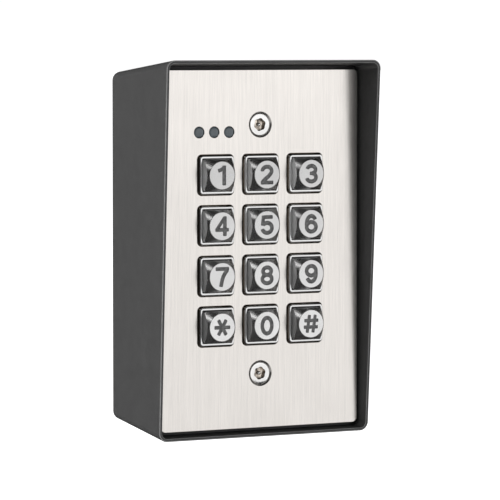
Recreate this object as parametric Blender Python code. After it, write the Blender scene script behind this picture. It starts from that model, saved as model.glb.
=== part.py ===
"""Keypad access reader for a wall: a hooded box with a metal faceplate and twelve keys.

Metres, +Z up. The origin is the centre of the back face, which lies against the wall, and the
front faces -Y. Depths are Y values, so a smaller number is nearer the front.
"""

import math

import bmesh
import bpy
from mathutils import Matrix

# Clearances
SEAT_GAP = 0.0003  # between faces that rest on each other
FIT_GAP = 0.0001  # around a shank, a lens or an insert in its hole
HOLE_GAP = 0.0003  # around a stud or a plunger that passes freely
KEY_GAP = 0.00025  # around a key in its collar
COLLAR_GAP = 0.00015  # around a collar in its plate opening
CUT_OVERRUN = 0.002  # how far a cutter runs past what it cuts

# Faceplate
PLATE_WIDTH = 0.0745
PLATE_HEIGHT = 0.1199
PLATE_THICKNESS = 0.0015
PLATE_CORNER = 0.0018
SCREW_MARGIN = 0.00594  # from the frame's end; it gives the 83.3 mm of a single-gang wall box
STUD_RADIUS = 0.0015

# Housing
BOX_DEPTH = 0.039  # from the wall to the plate's front
HOOD_TOP = 0.011  # how far the hood stands in front of the plate at the top
HOOD_BOTTOM = 0.0036
FLARE = 0.082  # widening of each side for each unit of depth, towards the front
HOUSING_CORNER = 0.0030
RIM_WALL = 0.0011
RIM_ROUND = 0.0004
SIDE_GAP = 0.0010  # between the plate's long edges and the rim
END_GAP = 0.0013  # between the plate's short edges and the rim
BACK_WALL = 0.0024
POCKET_WALL = 0.0026  # side wall at the back, where it is thinnest
POCKET_CORNER = 0.0020
POST_RADIUS = 0.00475
POST_BORE_DEPTH = 0.0130
RIB_THICKNESS = 0.0020
MOUNT_HOLE_RADIUS = 0.0023
MOUNT_HOLE_X = 0.0240
MOUNT_HOLE_Z = 0.0460
CABLE_HOLE_RADIUS = 0.0065
CABLE_HOLE_Z = -0.0140

# Gasket
GASKET_THICKNESS = 0.0009
GASKET_WIDTH = 0.0024
GASKET_INSET = 0.0006

# Keys and their collars
KEY_PITCH = 0.01682
KEY_BLOCK_Z = -0.0001
KEY_SIDE = 0.0104
KEY_CORNER = 0.0005
KEY_FACE_RADIUS = 0.00473
KEY_STAND = 0.00484  # how far a key's face stands in front of the plate
KEY_CONE_SLOPE = 1.05  # depth for each unit of radius on the coned corners
KEY_TRAVEL = 0.0012
KEY_FLANGE_SIDE = 0.0126
KEY_FLANGE_THICKNESS = 0.0010
COLLAR_WALL = 0.00125
COLLAR_CORNER = 0.0015
COLLAR_STAND = 0.00125
COLLAR_ROUND = 0.00055
LEGENDS = (("1", "2", "3"), ("4", "5", "6"), ("7", "8", "9"), ("star", "0", "hash"))

# Frame behind the plate
FRAME_BASE = 0.0015
FRAME_SIDE_WALL = 0.0060
FRAME_END_WALL = 0.0023
FRAME_CORNER = 0.0015
POCKET_MARGIN = 0.0019  # from the outermost key flanges to the frame's pocket wall
STUD_INSET = 0.00245  # from the pocket's end to a stud's axis

# Switch mat
MAT_SHEET = 0.0009
DOME_SOLID = 0.0010  # height of a dome that is pressed flat
DOME_BASE_RADIUS = 0.0046
DOME_TOP_RADIUS = 0.0032
DOME_WALL = 0.0007

# Boards and what they carry
BOARD_THICKNESS = 0.0016
BOARD_CORNER = 0.0010
BOARD_STACK = 0.0100  # clear distance between the two boards
LED_TAB_WIDTH = 0.0210
LED_TAB_MARGIN = 0.0045
LENS_RADIUS = 0.00178
LENS_X = -0.0173
LENS_PITCH = 0.0056
LENS_MARGIN = 0.00358  # from the frame's end to the lenses' axes
LENS_FLANGE = 0.0005
LENS_FLANGE_THICKNESS = 0.0008
LED_RADIUS = 0.0015
SPACER_WALL = 0.0012
NUT_RADIUS = 0.0031
NUT_HEIGHT = 0.0024
STUD_TIP = 0.0007
CHIP_SIDE = 0.0100
CHIP_HEIGHT = 0.0016
CHIP_X = -0.0120
HEADER_WIDTH = 0.0203
HEADER_HEIGHT = 0.0050
HEADER_MARGIN = 0.0078  # from a board's end to the header's middle
RELAY_WIDTH = 0.0152
RELAY_HEIGHT = 0.0192
RELAY_DEPTH = 0.0100
RELAY_X = -0.0140
RELAY_Z = 0.0120
BUZZER_RADIUS = 0.0060
BUZZER_DEPTH = 0.0065
BUZZER_X = 0.0140
BUZZER_Z = 0.0040
TERMINAL_WAYS = 6
TERMINAL_PITCH = 0.0035
TERMINAL_HEIGHT = 0.0080
TERMINAL_DEPTH = 0.0090
TERMINAL_MARGIN = 0.0078  # from a board's end to the terminals' middle
TERMINAL_ENTRY = 0.0024
TERMINAL_ENTRY_DEPTH = 0.0050

# Faceplate screws and inserts
SCREW_HEAD_RADIUS = 0.00362
SCREW_RADIUS = 0.00175
SCREW_LENGTH = 0.0120
SCREW_SINK = 0.00035
SCREW_CONE = math.radians(41)  # half of the head's cone angle
COUNTERSINK_RADIUS = 0.00431
RECESS_RADIUS = 0.00177
RECESS_LOBES = 6
RECESS_LOBE_SHARE = 0.16
RECESS_DEPTH = 0.0012
PIN_RADIUS = 0.0006
PIN_BELOW_HEAD = 0.0003
INSERT_RADIUS = 0.0029
INSERT_LENGTH = 0.0070

# Cable grommet
GROMMET_BORE = 0.0040
GROMMET_FLANGE_RADIUS = 0.0085
GROMMET_FLANGE = 0.0012

# Tamper switch
TAMPER_X = 0.0180
TAMPER_Z = 0.0240
TAMPER_WIDTH = 0.0128
TAMPER_HEIGHT = 0.0058
TAMPER_DEPTH = 0.0062
TAMPER_FOOT = 0.0016
PLUNGER_RADIUS = 0.0012
PLUNGER_FLANGE_RADIUS = 0.0020
PLUNGER_FLANGE = 0.0008
PLUNGER_PROUD = 0.0015  # how far it stands behind the back face, which is also its travel
PLUNGER_INSIDE = 0.0030

# Places along the depth, each worked out from the piece in front of it
PLATE_FRONT = -BOX_DEPTH
PLATE_BACK = PLATE_FRONT + PLATE_THICKNESS
LEDGE = PLATE_BACK + 2 * SEAT_GAP + GASKET_THICKNESS
FRAME_FRONT = PLATE_BACK + SEAT_GAP
FRAME_FLOOR = FRAME_FRONT + FRAME_BASE
FLANGE_FRONT = FRAME_FLOOR + SEAT_GAP
FLANGE_BACK = FLANGE_FRONT + KEY_FLANGE_THICKNESS
DOME_FRONT = FLANGE_BACK + SEAT_GAP
MAT_FRONT = DOME_FRONT + DOME_SOLID + KEY_TRAVEL
MAT_BACK = MAT_FRONT + MAT_SHEET
KEY_BOARD_FRONT = MAT_BACK + SEAT_GAP
KEY_BOARD_BACK = KEY_BOARD_FRONT + BOARD_THICKNESS
SPACER_FRONT = KEY_BOARD_BACK + SEAT_GAP
SPACER_BACK = SPACER_FRONT + BOARD_STACK - 2 * SEAT_GAP
CONTROLLER_FRONT = SPACER_BACK + SEAT_GAP
CONTROLLER_BACK = CONTROLLER_FRONT + BOARD_THICKNESS
NUT_FRONT = CONTROLLER_BACK + SEAT_GAP
NUT_BACK = NUT_FRONT + NUT_HEIGHT
WALL_INSIDE = -BACK_WALL

# Places across the front, worked out from the plate and the key block
RIM_HALF_WIDTH = PLATE_WIDTH / 2 + SIDE_GAP + RIM_WALL
RIM_HALF_HEIGHT = PLATE_HEIGHT / 2 + END_GAP + RIM_WALL
COLLAR_SIDE = KEY_SIDE + 2 * KEY_GAP + 2 * COLLAR_WALL
POCKET_HALF_WIDTH = KEY_PITCH + KEY_FLANGE_SIDE / 2 + POCKET_MARGIN
POCKET_HALF_HEIGHT = 1.5 * KEY_PITCH + KEY_FLANGE_SIDE / 2 + POCKET_MARGIN
FRAME_WIDTH = 2 * (POCKET_HALF_WIDTH + FRAME_SIDE_WALL)
FRAME_HEIGHT = 2 * (POCKET_HALF_HEIGHT + FRAME_END_WALL)
STUD_X = POCKET_HALF_WIDTH + FRAME_SIDE_WALL / 2
STUD_Z = POCKET_HALF_HEIGHT - STUD_INSET
STUD_PLACES = {
    "top_left": (-STUD_X, KEY_BLOCK_Z + STUD_Z),
    "top_right": (STUD_X, KEY_BLOCK_Z + STUD_Z),
    "bottom_left": (-STUD_X, KEY_BLOCK_Z - STUD_Z),
    "bottom_right": (STUD_X, KEY_BLOCK_Z - STUD_Z),
}
SCREW_Z = FRAME_HEIGHT / 2 + SCREW_MARGIN
SCREW_PLACES = {"top": (0.0, SCREW_Z), "bottom": (0.0, -SCREW_Z)}
LENS_Z = FRAME_HEIGHT / 2 + LENS_MARGIN
HEADER_Z = KEY_BLOCK_Z - FRAME_HEIGHT / 2 + HEADER_MARGIN
TERMINAL_Z = KEY_BLOCK_Z - FRAME_HEIGHT / 2 + TERMINAL_MARGIN
LENS_PLACES = {
    "left": (LENS_X - LENS_PITCH, LENS_Z),
    "middle": (LENS_X, LENS_Z),
    "right": (LENS_X + LENS_PITCH, LENS_Z),
}
KEY_PLACES = {
    legend: ((column - 1) * KEY_PITCH, KEY_BLOCK_Z + (1.5 - row) * KEY_PITCH)
    for row, legends in enumerate(LEGENDS)
    for column, legend in enumerate(legends)
}


def rim_half_width(y):
    """Half the housing's outside width at a depth."""
    return RIM_HALF_WIDTH + FLARE * (PLATE_FRONT - y)


def rim_half_height(y):
    """Half the housing's outside height at a depth."""
    return RIM_HALF_HEIGHT + FLARE * (PLATE_FRONT - y)


def clear_scene():
    for obj in list(bpy.data.objects):
        bpy.data.objects.remove(obj, do_unlink=True)


def new_collection(name):
    collection = bpy.data.collections.new(name)
    bpy.context.scene.collection.children.link(collection)
    return collection


def new_material(name, colour, roughness, metallic=0.0):
    material = bpy.data.materials.new(name)
    material.use_nodes = True
    shader = material.node_tree.nodes["Principled BSDF"]
    shader.inputs["Base Color"].default_value = (*colour, 1.0)
    shader.inputs["Roughness"].default_value = roughness
    shader.inputs["Metallic"].default_value = metallic
    material.diffuse_color = (*colour, 1.0)
    return material


def edges_along_depth(shape):
    """The edges that run from the front of a block to its back."""
    return [edge for edge in shape.edges if edge.calc_length() > 0 and runs_back(edge)]


def runs_back(edge):
    first, second = (vert.co for vert in edge.verts)
    return abs(first.y - second.y) > max(abs(first.x - second.x), abs(first.z - second.z))


def rounded(shape, edges, radius, segments):
    bmesh.ops.bevel(
        shape,
        geom=edges,
        offset=radius,
        offset_type="OFFSET",
        segments=segments,
        profile=0.5,
        affect="EDGES",
    )


def block(width, height, front, back, corner=0.0, segments=3, at=(0.0, 0.0)):
    """A box from one depth to another, its four long edges rounded."""
    shape = bmesh.new()
    bmesh.ops.create_cube(shape, size=1.0)
    bmesh.ops.scale(shape, vec=(width, back - front, height), verts=shape.verts)
    bmesh.ops.translate(shape, vec=(at[0], (front + back) / 2, at[1]), verts=shape.verts)
    if corner > 0:
        along = [
            edge
            for edge in shape.edges
            if abs(edge.verts[0].co.y - edge.verts[1].co.y) > (back - front) / 2
        ]
        rounded(shape, along, corner, segments)
    return shape


def cylinder(radius, front, back, at=(0.0, 0.0), segments=24, front_radius=None):
    """A cylinder or cone along the depth; radius is the one at its back."""
    shape = bmesh.new()
    bmesh.ops.create_cone(
        shape,
        cap_ends=True,
        segments=segments,
        radius1=radius,
        radius2=radius if front_radius is None else front_radius,
        depth=back - front,
        matrix=Matrix.Translation((at[0], (front + back) / 2, at[1]))
        @ Matrix.Rotation(math.radians(90), 4, "X"),
    )
    for face in shape.faces:
        face.smooth = abs(face.normal.y) < 0.99
    return shape


def joined(shapes):
    """Separate shapes in one mesh."""
    together = bmesh.new()
    for shape in shapes:
        mesh = bpy.data.meshes.new("shape")
        shape.to_mesh(mesh)
        shape.free()
        together.from_mesh(mesh)
        bpy.data.meshes.remove(mesh)
    return together


def new_object(name, shape, collection, material=None):
    mesh = bpy.data.meshes.new(name)
    shape.normal_update()
    shape.to_mesh(mesh)
    shape.free()
    obj = bpy.data.objects.new(name, mesh)
    collection.objects.link(obj)
    if material is not None:
        mesh.materials.append(material)
    return obj


def combine(obj, name, shape, operation="DIFFERENCE"):
    """Cut a shape from an object, or join one to it."""
    tool = new_object(name, shape, cutters)
    tool.hide_render = True
    tool.display_type = "WIRE"
    modifier = obj.modifiers.new(name, "BOOLEAN")
    modifier.operation = operation
    modifier.solver = "EXACT"
    modifier.object = tool
    return tool


def settle(obj):
    """Make the object's modifiers part of its mesh."""
    bpy.context.view_layer.update()
    graph = bpy.context.evaluated_depsgraph_get()
    mesh = bpy.data.meshes.new_from_object(obj.evaluated_get(graph))
    obj.modifiers.clear()
    obj.data = mesh


def ring(width, height, wall, front, back, corner, segments=3, at=(0.0, 0.0)):
    """A frame with rounded outer corners and an open middle."""
    shape = block(width, height, front, back, corner, segments, at)
    ends = [face for face in shape.faces if abs(face.normal.y) > 0.9]
    bmesh.ops.inset_individual(shape, faces=ends, thickness=wall, use_even_offset=True)
    loops = [edge for face in ends for edge in face.edges]
    bmesh.ops.delete(shape, geom=ends, context="FACES_ONLY")
    bmesh.ops.bridge_loops(shape, edges=loops)
    bmesh.ops.recalc_face_normals(shape, faces=shape.faces)
    return shape


def flared_block(inset, back, top_front, bottom_front, corner):
    """A block with the housing's flare, set in from its outside, with a slanted front."""
    shape = bmesh.new()
    bmesh.ops.create_cube(shape, size=2.0)
    for vert in shape.verts:
        front = top_front if vert.co.z > 0 else bottom_front
        depth = front if vert.co.y < 0 else back
        vert.co.x *= rim_half_width(depth) - inset
        vert.co.z *= rim_half_height(depth) - inset
        vert.co.y = depth
    rounded(shape, edges_along_depth(shape), corner, 5)
    return shape


def front_edges(shape):
    """The outline of a block's front face."""
    face = min(shape.faces, key=lambda each: each.calc_center_median().y)
    return list(face.edges)


def make_housing(material):
    top = PLATE_FRONT - HOOD_TOP
    bottom = PLATE_FRONT - HOOD_BOTTOM
    outside = flared_block(0.0, 0.0, top, bottom, HOUSING_CORNER)
    rounded(outside, front_edges(outside), RIM_ROUND, 2)
    housing = new_object("housing", outside, parts, material)
    rim = flared_block(
        RIM_WALL, LEDGE, top - CUT_OVERRUN, bottom - CUT_OVERRUN, HOUSING_CORNER - RIM_WALL
    )
    combine(housing, "rim_space", rim)
    pocket_width = 2 * (rim_half_width(0.0) - POCKET_WALL)
    pocket_height = 2 * (rim_half_height(0.0) - POCKET_WALL)
    pocket = block(pocket_width, pocket_height, LEDGE - CUT_OVERRUN, WALL_INSIDE, POCKET_CORNER)
    combine(housing, "pocket", pocket)
    posts = [
        cylinder(POST_RADIUS, LEDGE, -BACK_WALL / 2, place) for place in SCREW_PLACES.values()
    ]
    combine(housing, "posts", joined(posts), "UNION")
    rib_length = pocket_height / 2 - SCREW_Z + POCKET_WALL / 2
    ribs = [
        block(
            RIB_THICKNESS,
            rib_length,
            LEDGE + CUT_OVERRUN,
            -BACK_WALL / 2,
            at=(0.0, side * (SCREW_Z + rib_length / 2)),
        )
        for side in (1, -1)
    ]
    combine(housing, "ribs", joined(ribs), "UNION")
    bores = [
        cylinder(INSERT_RADIUS + FIT_GAP, LEDGE - CUT_OVERRUN, LEDGE + POST_BORE_DEPTH, place)
        for place in SCREW_PLACES.values()
    ]
    combine(housing, "post_bores", joined(bores))
    wall_start = WALL_INSIDE - CUT_OVERRUN
    holes = [
        cylinder(MOUNT_HOLE_RADIUS, wall_start, CUT_OVERRUN, (x, z))
        for x in (-MOUNT_HOLE_X, MOUNT_HOLE_X)
        for z in (-MOUNT_HOLE_Z, MOUNT_HOLE_Z)
    ]
    holes.append(cylinder(CABLE_HOLE_RADIUS, wall_start, CUT_OVERRUN, (0.0, CABLE_HOLE_Z), 32))
    holes.append(
        cylinder(PLUNGER_RADIUS + HOLE_GAP, wall_start, CUT_OVERRUN, (TAMPER_X, TAMPER_Z))
    )
    combine(housing, "back_holes", joined(holes))


def make_plate_gasket(material):
    gasket = ring(
        PLATE_WIDTH - 2 * GASKET_INSET,
        PLATE_HEIGHT - 2 * GASKET_INSET,
        GASKET_WIDTH,
        PLATE_BACK + SEAT_GAP,
        LEDGE - SEAT_GAP,
        GASKET_WIDTH + FIT_GAP,
    )
    new_object("plate_gasket", gasket, parts, material)


def make_faceplate(material):
    plate = new_object(
        "faceplate",
        block(PLATE_WIDTH, PLATE_HEIGHT, PLATE_FRONT, PLATE_BACK, PLATE_CORNER),
        parts,
        material,
    )
    opening = COLLAR_SIDE + 2 * COLLAR_GAP
    openings = [
        block(
            opening,
            opening,
            PLATE_FRONT - CUT_OVERRUN,
            PLATE_BACK + CUT_OVERRUN,
            COLLAR_CORNER + COLLAR_GAP,
            2,
            place,
        )
        for place in KEY_PLACES.values()
    ]
    combine(plate, "key_openings", joined(openings))
    lens_holes = [
        cylinder(
            LENS_RADIUS + FIT_GAP, PLATE_FRONT - CUT_OVERRUN, PLATE_BACK + CUT_OVERRUN, place
        )
        for place in LENS_PLACES.values()
    ]
    combine(plate, "lens_holes", joined(lens_holes))
    spread = CUT_OVERRUN * math.tan(SCREW_CONE)
    narrowing = (PLATE_THICKNESS + CUT_OVERRUN) * math.tan(SCREW_CONE)
    countersinks = [
        cylinder(
            COUNTERSINK_RADIUS - narrowing,
            PLATE_FRONT - CUT_OVERRUN,
            PLATE_BACK + CUT_OVERRUN,
            place,
            32,
            COUNTERSINK_RADIUS + spread,
        )
        for place in SCREW_PLACES.values()
    ]
    combine(plate, "countersinks", joined(countersinks))


def collar(place):
    """The raised square collar round one key, its front edges rounded inside and out."""
    front = PLATE_FRONT - COLLAR_STAND
    back = FRAME_FLOOR - SEAT_GAP
    shape = ring(COLLAR_SIDE, COLLAR_SIDE, COLLAR_WALL, front, back, COLLAR_CORNER, 2, place)
    crest = [
        edge
        for edge in shape.edges
        if all(abs(vert.co.y - front) < 1e-6 for vert in edge.verts)
        and any(abs(face.normal.y) < 0.1 for face in edge.link_faces)
    ]
    rounded(shape, crest, COLLAR_ROUND, 2)
    return shape


def make_key_frame(material):
    centre = (0.0, KEY_BLOCK_Z)
    frame = new_object(
        "key_frame",
        block(FRAME_WIDTH, FRAME_HEIGHT, FRAME_FRONT, MAT_BACK, FRAME_CORNER, at=centre),
        parts,
        material,
    )
    pocket = block(
        2 * POCKET_HALF_WIDTH,
        2 * POCKET_HALF_HEIGHT,
        FRAME_FLOOR,
        MAT_BACK + CUT_OVERRUN,
        at=centre,
    )
    combine(frame, "frame_pocket", pocket)
    opening = COLLAR_SIDE - COLLAR_WALL
    openings = [
        block(opening, opening, FRAME_FRONT - CUT_OVERRUN, FRAME_FLOOR + CUT_OVERRUN, at=place)
        for place in KEY_PLACES.values()
    ]
    combine(frame, "frame_openings", joined(openings))
    combine(frame, "collars", joined([collar(place) for place in KEY_PLACES.values()]), "UNION")
    holes = [
        cylinder(
            STUD_RADIUS + HOLE_GAP, FRAME_FRONT - CUT_OVERRUN, MAT_BACK + CUT_OVERRUN, place, 12
        )
        for place in STUD_PLACES.values()
    ]
    combine(frame, "frame_stud_holes", joined(holes))


def make_keys(material):
    """One key, about its own centre line and the plate's front, then a copy in each collar."""
    face = -KEY_STAND
    flange_front = FLANGE_FRONT - PLATE_FRONT
    flange_back = FLANGE_BACK - PLATE_FRONT
    first = new_object(
        "key",
        block(KEY_SIDE, KEY_SIDE, face, flange_back - KEY_FLANGE_THICKNESS / 2, KEY_CORNER, 2),
        parts,
        material,
    )
    flange = block(KEY_FLANGE_SIDE, KEY_FLANGE_SIDE, flange_front, flange_back, KEY_CORNER, 1)
    combine(first, "key_flange", flange, "UNION")
    depth = flange_back + CUT_OVERRUN - face
    cone = cylinder(
        KEY_FACE_RADIUS + depth / KEY_CONE_SLOPE,
        face,
        flange_back + CUT_OVERRUN,
        segments=40,
        front_radius=KEY_FACE_RADIUS,
    )
    combine(first, "key_cone", cone, "INTERSECT")
    settle(first)
    for legend, (x, z) in KEY_PLACES.items():
        key = bpy.data.objects.new(f"key_{legend}", first.data)
        key.location = (x, PLATE_FRONT, z)
        parts.objects.link(key)
    bpy.data.objects.remove(first)


def make_key_mat(material):
    mat = new_object(
        "key_mat",
        block(
            2 * (POCKET_HALF_WIDTH - SEAT_GAP),
            2 * (POCKET_HALF_HEIGHT - SEAT_GAP),
            MAT_FRONT,
            MAT_BACK,
            at=(0.0, KEY_BLOCK_Z),
        ),
        parts,
        material,
    )
    domes = [
        cylinder(DOME_BASE_RADIUS, DOME_FRONT, MAT_FRONT + MAT_SHEET / 2, place, 16, DOME_TOP_RADIUS)
        for place in KEY_PLACES.values()
    ]
    combine(mat, "domes", joined(domes), "UNION")
    hollows = [
        cylinder(
            DOME_BASE_RADIUS - DOME_WALL,
            DOME_FRONT + DOME_WALL,
            MAT_BACK + CUT_OVERRUN,
            place,
            16,
            DOME_TOP_RADIUS - DOME_WALL,
        )
        for place in KEY_PLACES.values()
    ]
    combine(mat, "dome_hollows", joined(hollows))


def stud_holes(name, obj, front, back):
    holes = [
        cylinder(STUD_RADIUS + HOLE_GAP, front - CUT_OVERRUN, back + CUT_OVERRUN, place, 12)
        for place in STUD_PLACES.values()
    ]
    combine(obj, name, joined(holes))


def make_key_board(material):
    board = new_object(
        "key_board",
        block(
            FRAME_WIDTH,
            FRAME_HEIGHT,
            KEY_BOARD_FRONT,
            KEY_BOARD_BACK,
            BOARD_CORNER,
            2,
            (0.0, KEY_BLOCK_Z),
        ),
        parts,
        material,
    )
    tab_top = LENS_Z + LED_TAB_MARGIN
    tab_bottom = KEY_BLOCK_Z + FRAME_HEIGHT / 2 - CUT_OVERRUN
    tab = block(
        LED_TAB_WIDTH,
        tab_top - tab_bottom,
        KEY_BOARD_FRONT,
        KEY_BOARD_BACK,
        at=(LENS_X, (tab_top + tab_bottom) / 2),
    )
    combine(board, "led_tab", tab, "UNION")
    stud_holes("key_board_holes", board, KEY_BOARD_FRONT, KEY_BOARD_BACK)


def make_lenses(lens_material, led_material):
    flange_front = PLATE_BACK + SEAT_GAP
    flange_back = flange_front + LENS_FLANGE_THICKNESS
    for side, place in LENS_PLACES.items():
        lens = new_object(
            f"lens_{side}",
            cylinder(LENS_RADIUS, PLATE_FRONT, flange_back - LENS_FLANGE_THICKNESS / 2, place),
            parts,
            lens_material,
        )
        flange = cylinder(LENS_RADIUS + LENS_FLANGE, flange_front, flange_back, place)
        combine(lens, f"lens_{side}_flange", flange, "UNION")
        shoulder = flange_back + SEAT_GAP + LED_RADIUS
        led = new_object(
            f"led_{side}",
            cylinder(LED_RADIUS, shoulder, KEY_BOARD_FRONT - SEAT_GAP, place, 16),
            parts,
            led_material,
        )
        tip = cylinder(
            LED_RADIUS,
            flange_back + SEAT_GAP,
            shoulder + FIT_GAP,
            place,
            16,
            LED_RADIUS / 2,
        )
        combine(led, f"led_{side}_tip", tip, "UNION")


def make_studs_spacers_and_nuts(stud_material, spacer_material, nut_material):
    """The faceplate's welded studs, with the tube and the nut that each one carries."""
    bore = STUD_RADIUS + HOLE_GAP
    for corner, place in STUD_PLACES.items():
        stud = cylinder(STUD_RADIUS, PLATE_BACK + SEAT_GAP, NUT_BACK + STUD_TIP, place, 12)
        new_object(f"stud_{corner}", stud, parts, stud_material)
        spacer = new_object(
            f"spacer_{corner}",
            cylinder(bore + SPACER_WALL, SPACER_FRONT, SPACER_BACK, place, 12),
            parts,
            spacer_material,
        )
        hole = cylinder(bore, SPACER_FRONT - CUT_OVERRUN, SPACER_BACK + CUT_OVERRUN, place, 12)
        combine(spacer, f"spacer_{corner}_bore", hole)
        nut = new_object(
            f"nut_{corner}",
            cylinder(NUT_RADIUS, NUT_FRONT, NUT_BACK, place, 6),
            parts,
            nut_material,
        )
        hole = cylinder(
            STUD_RADIUS + FIT_GAP, NUT_FRONT - CUT_OVERRUN, NUT_BACK + CUT_OVERRUN, place, 12
        )
        combine(nut, f"nut_{corner}_bore", hole)


def make_controller(board_material, black_material, relay_material, terminal_material):
    board = new_object(
        "controller_board",
        block(
            FRAME_WIDTH,
            FRAME_HEIGHT,
            CONTROLLER_FRONT,
            CONTROLLER_BACK,
            BOARD_CORNER,
            2,
            (0.0, KEY_BLOCK_Z),
        ),
        parts,
        board_material,
    )
    stud_holes("controller_board_holes", board, CONTROLLER_FRONT, CONTROLLER_BACK)
    chip_back = CONTROLLER_FRONT - SEAT_GAP
    chip = block(CHIP_SIDE, CHIP_SIDE, chip_back - CHIP_HEIGHT, chip_back, at=(CHIP_X, 0.0))
    new_object("controller_chip", chip, parts, black_material)
    header = block(HEADER_WIDTH, HEADER_HEIGHT, SPACER_FRONT, SPACER_BACK, at=(0.0, HEADER_Z))
    new_object("board_header", header, parts, black_material)
    start = CONTROLLER_BACK + SEAT_GAP
    relay = block(
        RELAY_WIDTH, RELAY_HEIGHT, start, start + RELAY_DEPTH, BOARD_CORNER, 2, (RELAY_X, RELAY_Z)
    )
    new_object("relay", relay, parts, relay_material)
    buzzer = cylinder(BUZZER_RADIUS, start, start + BUZZER_DEPTH, (BUZZER_X, BUZZER_Z))
    new_object("buzzer", buzzer, parts, black_material)
    make_terminal_block(start, terminal_material)


def make_terminal_block(start, material):
    """A row of screw terminals whose wire entries open towards the cable hole above."""
    width = TERMINAL_WAYS * TERMINAL_PITCH
    end = start + TERMINAL_DEPTH
    terminal = new_object(
        "terminal_block",
        block(width, TERMINAL_HEIGHT, start, end, at=(0.0, TERMINAL_Z)),
        parts,
        material,
    )
    entry_top = TERMINAL_Z + TERMINAL_HEIGHT / 2 + CUT_OVERRUN
    entry_bottom = TERMINAL_Z + TERMINAL_HEIGHT / 2 - TERMINAL_ENTRY_DEPTH
    entries = [
        block(
            TERMINAL_ENTRY,
            entry_top - entry_bottom,
            start + TERMINAL_DEPTH / 2 - TERMINAL_ENTRY / 2,
            start + TERMINAL_DEPTH / 2 + TERMINAL_ENTRY / 2,
            at=(
                (way - (TERMINAL_WAYS - 1) / 2) * TERMINAL_PITCH,
                (entry_top + entry_bottom) / 2,
            ),
        )
        for way in range(TERMINAL_WAYS)
    ]
    combine(terminal, "wire_entries", joined(entries))


def recess(place, front, back):
    """The six-lobed star that is cut into a screw's head."""
    shape = cylinder(RECESS_RADIUS, front, back, segments=6 * RECESS_LOBES)
    for vert in shape.verts:
        turn = math.atan2(vert.co.z, vert.co.x)
        reach = 1 + RECESS_LOBE_SHARE * math.cos(RECESS_LOBES * turn)
        vert.co.x *= reach
        vert.co.z *= reach
    bmesh.ops.translate(shape, vec=(place[0], 0.0, place[1]), verts=shape.verts)
    return shape


def make_screws_and_inserts(screw_material, insert_material):
    head_front = PLATE_FRONT + SCREW_SINK
    head_depth = (SCREW_HEAD_RADIUS - SCREW_RADIUS) / math.tan(SCREW_CONE)
    floor = head_front + RECESS_DEPTH
    for end, place in SCREW_PLACES.items():
        screw = new_object(
            f"screw_{end}",
            cylinder(
                SCREW_RADIUS,
                head_front,
                head_front + head_depth,
                place,
                32,
                SCREW_HEAD_RADIUS,
            ),
            parts,
            screw_material,
        )
        shank = cylinder(
            SCREW_RADIUS - FIT_GAP / 2,
            head_front + head_depth - SCREW_RADIUS / 2,
            head_front + SCREW_LENGTH,
            place,
            16,
        )
        combine(screw, f"screw_{end}_shank", shank, "UNION")
        combine(screw, f"screw_{end}_recess", recess(place, head_front - CUT_OVERRUN, floor))
        pin = cylinder(PIN_RADIUS, head_front + PIN_BELOW_HEAD, floor + PIN_RADIUS, place, 12)
        combine(screw, f"screw_{end}_pin", pin, "UNION")
        insert = new_object(
            f"insert_{end}",
            cylinder(INSERT_RADIUS, LEDGE, LEDGE + INSERT_LENGTH, place),
            parts,
            insert_material,
        )
        bore = cylinder(
            SCREW_RADIUS + FIT_GAP,
            LEDGE - CUT_OVERRUN,
            LEDGE + INSERT_LENGTH + CUT_OVERRUN,
            place,
            16,
        )
        combine(insert, f"insert_{end}_bore", bore)


def make_cable_grommet(material):
    place = (0.0, CABLE_HOLE_Z)
    flange_back = WALL_INSIDE - SEAT_GAP
    flange_front = flange_back - GROMMET_FLANGE
    grommet = new_object(
        "cable_grommet",
        cylinder(GROMMET_FLANGE_RADIUS, flange_front, flange_back, place, 32),
        parts,
        material,
    )
    sleeve = cylinder(
        CABLE_HOLE_RADIUS - HOLE_GAP, flange_front + GROMMET_FLANGE / 2, -SEAT_GAP, place, 32
    )
    combine(grommet, "grommet_sleeve", sleeve, "UNION")
    bore = cylinder(GROMMET_BORE, flange_front - CUT_OVERRUN, CUT_OVERRUN, place, 32)
    combine(grommet, "grommet_bore", bore)


def make_tamper_switch(switch_material, plunger_material):
    place = (TAMPER_X, TAMPER_Z)
    flange_back = WALL_INSIDE - SEAT_GAP
    flange_front = flange_back - PLUNGER_FLANGE
    body_back = flange_front - PLUNGER_PROUD - SEAT_GAP
    body_front = body_back - TAMPER_DEPTH
    switch = new_object(
        "tamper_switch",
        block(TAMPER_WIDTH, TAMPER_HEIGHT, body_front, body_back, at=place),
        parts,
        switch_material,
    )
    foot_x = TAMPER_WIDTH / 2 - TAMPER_FOOT / 2
    feet = [
        block(
            TAMPER_FOOT,
            TAMPER_HEIGHT - CUT_OVERRUN / 2,
            body_back - TAMPER_FOOT,
            flange_back,
            at=(TAMPER_X + side * (foot_x - FIT_GAP), TAMPER_Z),
        )
        for side in (-1, 1)
    ]
    combine(switch, "tamper_feet", joined(feet), "UNION")
    stem_front = body_back - PLUNGER_INSIDE
    bore = cylinder(
        PLUNGER_RADIUS + HOLE_GAP,
        stem_front - PLUNGER_PROUD - SEAT_GAP,
        body_back + CUT_OVERRUN / 2,
        place,
        16,
    )
    combine(switch, "tamper_bore", bore)
    plunger = new_object(
        "tamper_plunger",
        cylinder(PLUNGER_RADIUS, stem_front, PLUNGER_PROUD, segments=16),
        parts,
        plunger_material,
    )
    flange = cylinder(PLUNGER_FLANGE_RADIUS, flange_front, flange_back, segments=16)
    tool = combine(plunger, "plunger_flange", flange, "UNION")
    plunger.location = (TAMPER_X, 0.0, TAMPER_Z)
    tool.location = plunger.location


clear_scene()
parts = new_collection("keypad_access_reader")
cutters = new_collection("cutters")
cutters.hide_render = True

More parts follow.
